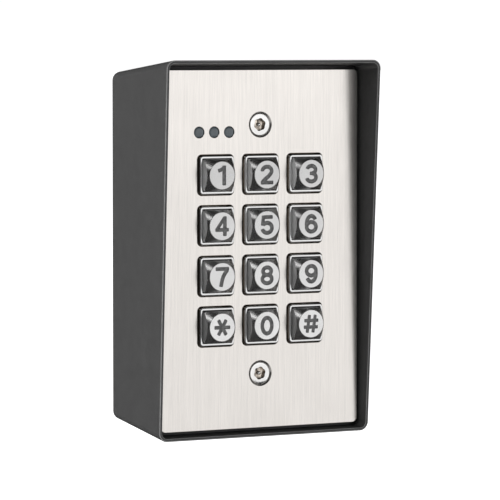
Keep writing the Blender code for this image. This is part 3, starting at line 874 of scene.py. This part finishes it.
def make_housing():
    housing = new_object("reader_housing", housing_shell(), [powder_coat, painted_lip_highlight])
    places = [middle(screw) for screw in SCREWS]
    for shape in posts_and_ribs(places):
        carve(housing, shape, "UNION")
    carve(housing, gathered(housing_holes(places)))
    fit(housing, "housing")


make_housing()

# Faceplate


def collar_opening(at):
    """A cutter for a collar's opening, whose front edge is softened."""
    half, corner = COLLAR_SIDE / 2 + COLLAR_GAP, COLLAR_CORNER + COLLAR_GAP
    loops = []
    for grown, depth in (
        (OPENING_ROUND + OVERRUN, PLATE_FRONT - OVERRUN),
        (OPENING_ROUND, PLATE_FRONT),
        (0.0, PLATE_FRONT + OPENING_ROUND),
        (0.0, PLATE_BACK + OVERRUN),
    ):
        outline = rounded_outline(half + grown, half + grown, corner + grown, 6, at)
        loops.append(at_depth(outline, depth))
    return skin(loops)


def lens_hole(at):
    radius = LENS_RADIUS + FIT_GAP
    profile = [
        (radius + LENS_HOLE_ROUND + OVERRUN, PLATE_FRONT - OVERRUN),
        (radius + LENS_HOLE_ROUND, PLATE_FRONT),
        (radius, PLATE_FRONT + LENS_HOLE_ROUND),
        (radius, PLATE_BACK + OVERRUN),
    ]
    return turned(profile, 64, at)


def screw_hole(at):
    slope = math.tan(SCREW_CONE)
    profile = [
        (COUNTERSINK + OPENING_ROUND + OVERRUN * 2, PLATE_FRONT - OVERRUN),
        (COUNTERSINK + OPENING_ROUND, PLATE_FRONT),
        (COUNTERSINK - COUNTERSINK_ROUND * slope, PLATE_FRONT + COUNTERSINK_ROUND),
        (COUNTERSINK - (PLATE_BACK - PLATE_FRONT + OVERRUN) * slope, PLATE_BACK + OVERRUN),
    ]
    return turned(profile, 96, at)


def make_faceplate():
    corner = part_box("faceplate")[1]
    loops = []
    for inset, on in reversed(arc(PLATE_ROUND, 3)):
        outline = rounded_outline(corner.x - inset, corner.z - inset, PLATE_CORNER - inset)
        loops.append(at_depth(outline, PLATE_FRONT + PLATE_ROUND - on))
    loops.append(at_depth(rounded_outline(corner.x, corner.z, PLATE_CORNER), PLATE_BACK))
    plate = new_object("brushed_faceplate", skin(loops), [plate_metal])
    cuts = [collar_opening(middle(key)) for key in KEYS]
    cuts += [lens_hole(middle(lens)) for lens in LENSES]
    cuts += [screw_hole(middle(screw)) for screw in SCREWS]
    carve(plate, gathered(cuts))
    fit(plate, "faceplate")


make_faceplate()

# Frame with its collars


def collar(at):
    """One raised square collar with a round crest."""
    front = PLATE_FRONT - COLLAR_STAND
    back = PLATE_BACK + FRAME_BASE
    half = COLLAR_SIDE / 2
    loops = [at_depth(rounded_outline(half, half, COLLAR_CORNER, 8, at), back)]
    for step in range(COLLAR_STEPS + 1):
        share = step / COLLAR_STEPS
        inset = COLLAR_SLOPE * share
        outline = rounded_outline(half - inset, half - inset, COLLAR_CORNER - inset, 8, at)
        loops.append(at_depth(outline, PLATE_FRONT - COLLAR_STAND * (1 - (1 - share) ** COLLAR_CURVE)))
    inner = half - COLLAR_WALL
    for inset, on in reversed(arc(COLLAR_INNER_ROUND, 4)):
        corner = COLLAR_CORNER - COLLAR_WALL + inset
        outline = rounded_outline(inner + inset, inner + inset, corner, 8, at)
        loops.append(at_depth(outline, front + COLLAR_INNER_ROUND - on))
    loops.append(at_depth(rounded_outline(inner, inner, COLLAR_CORNER - COLLAR_WALL, 8, at), back))
    return skin(loops, closed=True)


def make_key_frame():
    at = middle("key_frame")
    front, back = PLATE_BACK + SEAT_GAP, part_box("key_frame")[1].y
    outline = rounded_outline(*half_span("key_frame"), FRAME_CORNER, 6, at)
    block = skin([at_depth(outline, front), at_depth(outline, back)])
    key_frame = new_object("chrome_key_frame", block, [chrome])
    wide, tall = half_span("key_mat")
    outline = rounded_outline(wide + HOLE_GAP, tall + HOLE_GAP, MAT_CORNER, 3, at)
    carve(key_frame, skin([at_depth(outline, front + FRAME_BASE), at_depth(outline, back + OVERRUN)]))
    half = (COLLAR_SIDE - COLLAR_WALL) / 2
    cuts = []
    for key in KEYS:
        outline = rounded_outline(half, half, FRAME_OPENING_CORNER, 4, middle(key))
        start, end = front - OVERRUN, front + FRAME_BASE + OVERRUN
        cuts.append(skin([at_depth(outline, start), at_depth(outline, end)]))
    for stud in STUDS:
        radius = half_span(stud)[0] + HOLE_GAP
        cuts.append(turned([(radius, front - OVERRUN), (radius, back + OVERRUN)], 24, middle(stud)))
    carve(key_frame, gathered(cuts))
    carve(key_frame, gathered([collar(middle(key)) for key in KEYS]), "UNION")
    fit(key_frame, "key_frame")


make_key_frame()

# Keys


def bow(x, z, wide, tall, start, end):
    """Points along an oval from one angle to another, in degrees anticlockwise from the right."""
    steps = max(6, round(abs(end - start) / 9))
    turns = [math.radians(start + (end - start) * step / steps) for step in range(steps + 1)]
    return [(x + wide * math.cos(turn), z + tall * math.sin(turn)) for turn in turns]


def legend_strokes(sign):
    """The pen paths of a sign as (points, width) pairs, in millimetres from the key's middle."""
    pen, thin = LEGEND_PEN / MM, LEGEND_PEN / MM * 0.9
    if sign == "0":
        return [(bow(0.0, 0.0, 1.8, 2.62, 0, 360), pen)]
    if sign == "1":
        return [([(0.72, -3.3), (0.72, 3.3)], pen), ([(0.75, 2.75), (-0.1, 2.0), (-1.55, 1.5)], thin)]
    if sign == "2":
        top = bow(-0.05, 1.15, 1.75, 1.47, 183, -12)
        tail = [(1.35, 0.3), (0.5, -0.6), (-0.7, -1.5), (-1.5, -2.2), (-1.75, -2.9)]
        return [(top + tail, pen), ([(-2.4, -2.66), (2.35, -2.66)], 1.28)]
    if sign == "3":
        upper = bow(0.0, 1.35, 1.6, 1.27, 170, -85)
        lower = bow(0.0, -1.22, 1.78, 1.4, 85, -170)
        return [(upper, pen), (lower, pen), ([(-0.6, 0.1), (0.4, 0.1)], 1.2)]
    if sign == "4":
        return [
            ([(0.95, -3.3), (0.95, 3.3)], pen),
            ([(0.8, 2.8), (-1.95, -1.0)], 1.2),
            ([(-2.6, -1.2), (2.45, -1.2)], 1.25),
        ]
    if sign == "5":
        bowl = bow(0.0, -0.95, 1.83, 1.67, 148, -168)
        return [(bowl, pen), ([(-1.35, 2.66), (2.15, 2.66)], 1.28), ([(-1.3, 3.2), (-1.75, -0.2)], 1.3)]
    if sign in ("6", "9"):
        side = 1 if sign == "6" else -1
        ring = bow(0.0, -1.02, 1.78, 1.6, 0, 360)
        spine = bow(0.0, 0.0, 1.82, 2.62, 32, 205)
        return [([(side * x, side * z) for x, z in path], pen) for path in (ring, spine)]
    if sign == "7":
        leg = [(1.95, 2.3), (0.9, 1.0), (0.1, -0.6), (-0.55, -3.3)]
        return [(smooth_path(leg), pen), ([(-2.5, 2.66), (2.5, 2.66)], 1.28)]
    if sign == "8":
        return [
            (bow(0.0, 1.4, 1.55, 1.25, 0, 360), pen),
            (bow(0.0, -1.22, 1.78, 1.4, 0, 360), pen),
        ]
    if sign == "star":
        arms = [math.radians(turn) for turn in (0, 60, 120)]
        tips = [(2.95 * math.cos(arm), 2.95 * math.sin(arm)) for arm in arms]
        return [([(-x, -z), (x, z)], thin) for x, z in tips]
    rungs = [([(-2.75 + shift, z), (2.65 + shift, z)], 1.2) for z, shift in ((1.1, 0.1), (-1.1, -0.1))]
    posts = [([(x - 0.45, -3.0), (x + 0.45, 3.0)], 1.2) for x in (-1.1, 1.1)]
    return rungs + posts


def smooth_path(points, steps=6):
    """More points on a smooth curve through the given ones."""
    path = []
    padded = [points[0], *points, points[-1]]
    for before, start, end, after in zip(padded, padded[1:], padded[2:], padded[3:]):
        for step in range(steps):
            t = step / steps
            point = []
            for a, b, c, d in zip(before, start, end, after):
                curve = 2 * b + (c - a) * t + (2 * a - 5 * b + 4 * c - d) * t * t
                point.append(0.5 * (curve + (3 * b - a - 3 * c + d) * t**3))
            path.append(tuple(point))
    return [*path, points[-1]]


def stations(points, corner, spacing=0.3 * MM):
    """Points at even steps along a path, and closer ones near its ends, with each one's distance in."""
    path = [Vector((x * MM, 0.0, z * MM)) for x, z in points]
    lengths = [0.0]
    for start, end in zip(path, path[1:]):
        lengths.append(lengths[-1] + (end - start).length)
    total = lengths[-1]
    close = [corner * share for share in (0.0, 0.06, 0.2, 0.45, 1.0)]
    count = max(2, round((total - 2 * corner) / spacing))
    even = [corner + (total - 2 * corner) * step / count for step in range(1, count)]
    found = []
    for distance in [*close, *even, *(total - each for each in reversed(close))]:
        index = max(0, sum(length < distance for length in lengths) - 1)
        share = (distance - lengths[index]) / (lengths[index + 1] - lengths[index])
        found.append((path[index].lerp(path[index + 1], share), min(distance, total - distance)))
    return found


def stroke(points, width, front, at, start):
    """A pen stroke as a solid with a rounded bottom, from a start in front of a key into its face."""
    closed = points[0] == points[-1] or math.dist(points[0], points[-1]) < 1e-6
    found = stations(points, LEGEND_CORNER)
    if closed:
        found = [(Vector((x * MM, 0.0, z * MM)), LEGEND_CORNER) for x, z in points[:-1]]
    loops = []
    for index, (point, close) in enumerate(found):
        before = found[index - 1][0] if index or closed else point
        after = found[(index + 1) % len(found)][0] if closed or index + 1 < len(found) else point
        along = (after - before).normalized()
        across = Vector((along.z, 0.0, -along.x))
        left = LEGEND_CORNER - min(close, LEGEND_CORNER)
        half = width * MM / 2 - LEGEND_CORNER + math.sqrt(max(0.0, LEGEND_CORNER**2 - left**2))
        centre = point + Vector((at[0], front, at[1]))
        loop = [centre - across * half - Vector((0.0, start, 0.0))]
        for step in range(7):
            turn = math.pi * step / 6
            sunk = Vector((0.0, LEGEND_DEPTH * math.sin(turn) ** LEGEND_CURVE, 0.0))
            loop.append(centre - across * half * math.cos(turn) + sunk)
        loop.append(centre + across * half - Vector((0.0, start, 0.0)))
        loops.append(loop)
    return skin(loops, closed)


def make_key(node):
    low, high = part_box(node)
    at = middle(node)
    front, back = low.y, high.y
    half = KEY_SIDE / 2
    outline = rounded_outline(half, half, KEY_CORNER, 6, at)
    key = new_object(
        f"metal_{node}",
        skin([at_depth(outline, front - OVERRUN), at_depth(outline, back - KEY_FLANGE / 2)]),
        [key_flank],
    )
    half = KEY_FLANGE_SIDE / 2
    outline = rounded_outline(half, half, KEY_CORNER, 4, at)
    carve(key, skin([at_depth(outline, back - KEY_FLANGE), at_depth(outline, back)]), "UNION")
    profile = [
        (KEY_FACE - inset, front + KEY_FACE_ROUND - on)
        for inset, on in reversed(arc(KEY_FACE_ROUND, 4))
    ]
    depth = back + OVERRUN - front - KEY_FACE_ROUND
    profile.append((KEY_FACE + depth / KEY_CONE_SLOPE, back + OVERRUN))
    carve(key, turned(profile, 160, at), "INTERSECT", key_metal)
    # Each stroke's cutter starts at a depth of its own, so that no two of their ends share a plane.
    strokes = legend_strokes(node.removeprefix("key_"))
    for index, (points, width) in enumerate(strokes):
        start = OVERRUN * (1 + index / 7)
        carve(key, stroke(points, width, front, at, start), material=legend_paint)
    fit(key, node, body=node, sharp=24)


for node in KEYS:
    make_key(node)

# Lenses and screws


def make_lens(node):
    low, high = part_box(node)
    flange_front = high.y - LENS_FLANGE_THICKNESS
    profile = domed(LENS_RADIUS, LENS_DOME, low.y, 8)
    profile += [
        (LENS_RADIUS, flange_front),
        (LENS_RADIUS + LENS_FLANGE, flange_front),
        (LENS_RADIUS + LENS_FLANGE, high.y),
        (0.0, high.y),
    ]
    lens = new_object(f"smoked_{node}", turned(profile, 64, middle(node)), [smoked_lens])
    fit(lens, node)


def screw_profile(front, back):
    """A countersunk head with a softened rim, and a threaded shank."""
    neck = front + (SCREW_HEAD - SCREW_RADIUS) / math.tan(SCREW_CONE)
    profile = [(0.0, front)]
    profile += [
        (SCREW_HEAD - inset, front + SCREW_ROUND - on) for inset, on in reversed(arc(SCREW_ROUND, 4))
    ]
    profile.append((SCREW_RADIUS, neck))
    depth = neck + THREAD_PITCH
    while depth < back - THREAD_PITCH:
        profile += [(SCREW_RADIUS, depth), (SCREW_RADIUS - THREAD_DEPTH, depth + THREAD_PITCH / 2)]
        depth += THREAD_PITCH
    return [*profile, (SCREW_RADIUS - SCREW_TIP, back), (0.0, back)]


def star_share(turn):
    """The recess's radius at an angle, as a share of its middle radius."""
    return 1 + STAR_SHARE * math.cos(STAR_LOBES * (turn - STAR_TURN))


def make_screw(node):
    low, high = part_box(node)
    at = middle(node)
    front = low.y
    floor = front + STAR_DEPTH
    screw = new_object(f"polished_{node}", turned(screw_profile(front, high.y), 96, at), [screw_metal])
    recess = [
        (STAR_RADIUS + STAR_MOUTH + OVERRUN, front - OVERRUN),
        (STAR_RADIUS + STAR_MOUTH, front),
        (STAR_RADIUS, front + STAR_MOUTH),
        (STAR_RADIUS, floor),
    ]
    # The recess's walls and floor take that finish, with its painted shade and glints.
    carve(screw, turned(recess, 120, at, star_share), material=recess_metal)
    pin = domed(PIN_RADIUS, PIN_RADIUS / 2, front + PIN_BELOW_HEAD, 5)
    pin += [(PIN_RADIUS, floor + PIN_RADIUS), (0.0, floor + PIN_RADIUS)]
    carve(screw, turned(pin, 32, at), "UNION")
    fit(screw, node)


for node in LENSES:
    make_lens(node)
for node in SCREWS:
    make_screw(node)

# Grommet


def make_grommet():
    low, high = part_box("cable_grommet")
    flange = half_span("cable_grommet")[0]
    flange_back = low.y + GROMMET_FLANGE
    sleeve = CABLE_HOLE - HOLE_GAP
    rising = arc(GROMMET_LIP, 4)
    falling = rising[::-1]
    profile = [(GROMMET_BORE + inset, high.y - GROMMET_LIP + on) for inset, on in rising]
    profile += [(sleeve - inset, high.y - GROMMET_LIP + on) for inset, on in falling]
    profile.append((sleeve, flange_back))
    profile += [(flange - inset, flange_back - GROMMET_LIP + on) for inset, on in falling]
    profile += [(flange - inset, low.y + GROMMET_LIP - on) for inset, on in rising]
    profile.append((GROMMET_BORE, low.y))
    ring = turned(profile, 64, middle("cable_grommet"), closed=True)
    fit(new_object("rubber_grommet", ring, [rubber]), "cable_grommet")


make_grommet()

# Switch mat


def make_key_mat():
    """The mat's sheet, and a dome behind each key."""
    low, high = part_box("key_mat")
    sheet_front = high.y - MAT_SHEET
    outline = rounded_outline(*half_span("key_mat"), MAT_CORNER, 4, middle("key_mat"))
    slab = skin([at_depth(outline, sheet_front), at_depth(outline, high.y)])
    sheet = new_object("silicone_mat", slab, [silicone])
    hollow = [(DOME_BASE - DOME_WALL, sheet_front - OVERRUN), (DOME_BASE - DOME_WALL, high.y + OVERRUN)]
    carve(sheet, gathered([turned(hollow, 48, middle(key)) for key in KEYS]))
    fit(sheet, "key_mat")
    for key in KEYS:
        x, z = middle(key)
        profile = [(0.0, low.y)]
        profile += [(DOME_TOP - inset, low.y + DOME_ROUND - on) for inset, on in reversed(arc(DOME_ROUND, 3))]
        profile += [
            (DOME_BASE, sheet_front),
            (DOME_BASE - DOME_WALL, sheet_front),
            (DOME_TOP - DOME_WALL, low.y + DOME_WALL),
            (0.0, low.y + DOME_WALL),
        ]
        dome = new_object(f"silicone_dome_{key}", turned(profile, 48, (x, z)), [silicone])
        fit(dome, "key_mat")
        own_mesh(dome)


make_key_mat()

# Finishes for the pieces that keep their own shape, by how their names start
FINISHES = {
    "plate_gasket": foam,
    "key_board": board_green,
    "controller_board": board_green,
    "controller_chip": black_plastic,
    "board_header": black_plastic,
    "buzzer": black_plastic,
    "relay": relay_blue,
    "terminal_block": terminal_green,
    "tamper_switch": black_plastic,
    "tamper_plunger": plunger_white,
    "led_": led_epoxy,
    "stud_": steel,
    "spacer_": nylon,
    "nut_": zinc,
    "insert_": brass,
}
for name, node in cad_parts.items():
    for start, finish in FINISHES.items():
        if name.startswith(start) and not node.hide_render:
            node.data.materials.clear()
            node.data.materials.append(finish)

# Studio


def make_floor():
    """A plain pale floor well below the reader."""
    shape = bmesh.new()
    bmesh.ops.create_grid(shape, x_segments=1, y_segments=1, size=FLOOR_SIZE)
    bmesh.ops.translate(shape, vec=(0.0, 0.0, cad_box[0].z - FLOOR_DROP), verts=shape.verts)
    material = bpy.data.materials.new("pale_floor")
    material.use_nodes = True
    wires = Wiring(material.node_tree)
    shader = material.node_tree.nodes["Principled BSDF"]
    shader.inputs["Base Color"].default_value = grey(0.86)
    shader.inputs["Roughness"].default_value = 0.9
    seen = wires.add("ShaderNodeLightPath").outputs["Is Camera Ray"]
    shader.inputs["Emission Color"].default_value = grey(1.0)
    wires.feed(shader.inputs["Emission Strength"], seen)
    floor = new_object("floor", shape, [material])
    floor.visible_glossy = False


def make_world():
    """White to look at and soft as light; in metal a dim room, pale low in front and straight ahead."""
    world = bpy.data.worlds.new("studio")
    world.use_nodes = True
    wires = Wiring(world.node_tree)
    background = world.node_tree.nodes["Background"]
    background.inputs["Color"].default_value = grey(1.0)
    direction = wires.add("ShaderNodeTexCoord").outputs["Generated"]
    across, along, up = wires.add("ShaderNodeSeparateXYZ", {"Vector": direction}).outputs
    low_wall = wires.math("MULTIPLY", wires.span(up, *LOW_WALL_UP), wires.span(along, *LOW_WALL_ALONG))
    wall = wires.math("MAXIMUM", low_wall, wires.span(along, *FRONT_WALL_ALONG))
    from_card = wires.math("ABSOLUTE", wires.math("SUBTRACT", across, DARK_CARD))
    wall = wires.math("MULTIPLY", wall, wires.span(from_card, *DARK_CARD_HALF))
    path = wires.add("ShaderNodeLightPath")
    seen = wires.math("MULTIPLY", wires.math("MULTIPLY", wall, WALL_GLOW), path.outputs["Is Glossy Ray"])
    soft = wires.math("MULTIPLY_ADD", path.outputs["Is Diffuse Ray"], SOFT_GLOW, ROOM_GLOW)
    total = wires.math("ADD", wires.math("ADD", path.outputs["Is Camera Ray"], soft), seen)
    wires.feed(background.inputs["Strength"], total)
    bpy.context.scene.world = world


def add_light(name, place, target, size, power, glossy=True):
    """A panel light at a place that faces a target; its size is a width and a height, its power in watts."""
    light = bpy.data.lights.new(name, "AREA")
    light.shape = "RECTANGLE"
    light.size, light.size_y = size
    light.energy = power
    obj = bpy.data.objects.new(name, light)
    obj.location = place
    obj.rotation_mode = "QUATERNION"
    obj.rotation_quaternion = (Vector(place) - Vector(target)).to_track_quat("Z", "Y")
    obj.visible_camera = False
    obj.visible_glossy = glossy
    bpy.context.scene.collection.objects.link(obj)


def make_lights():
    target = (0.0, PLATE_FRONT, 0.0)
    add_light("main_box", (0.71, -0.99, 0.0), target, (1.08, 0.62), 1.95)
    add_light("upper_box", (0.70, -0.98, 0.17), target, (1.06, 0.36), 0.165)
    add_light("left_box", (-0.6, -1.05, 0.28), target, (0.5, 0.6), 0.12)
    add_light("upper_left_box", (-0.8, -0.55, 0.85), target, (0.3, 0.3), 0.45)
    add_light("left_strip", (-1.2, -0.25, 0.4), target, (0.06, 0.3), 0.06)
    add_light("left_fill", (-1.3, 0.15, 0.45), target, (0.8, 0.8), 28.0, glossy=False)


def make_camera():
    data = bpy.data.cameras.new("camera")
    data.lens = CAMERA_LENS
    data.sensor_width = 36.0
    data.clip_start = 0.05
    data.clip_end = 100.0
    camera = bpy.data.objects.new("camera", data)
    right = Vector((math.cos(CAMERA_AZIMUTH), math.sin(CAMERA_AZIMUTH), 0.0))
    back = Vector(
        (
            math.sin(CAMERA_AZIMUTH) * math.cos(CAMERA_ELEVATION),
            -math.cos(CAMERA_AZIMUTH) * math.cos(CAMERA_ELEVATION),
            math.sin(CAMERA_ELEVATION),
        )
    )
    up = back.cross(right)
    place = Vector((0.0, PLATE_FRONT, 0.0)) + CAMERA_DISTANCE * back
    place += CAMERA_RIGHT * right + CAMERA_UP * up
    turn = Matrix((right, up, back)).transposed()
    camera.matrix_world = Matrix.Translation(place) @ turn.to_4x4()
    bpy.context.scene.collection.objects.link(camera)
    bpy.context.scene.camera = camera


make_floor()
make_world()
make_lights()
make_camera()
bpy.context.scene.view_settings.view_transform = "Standard"
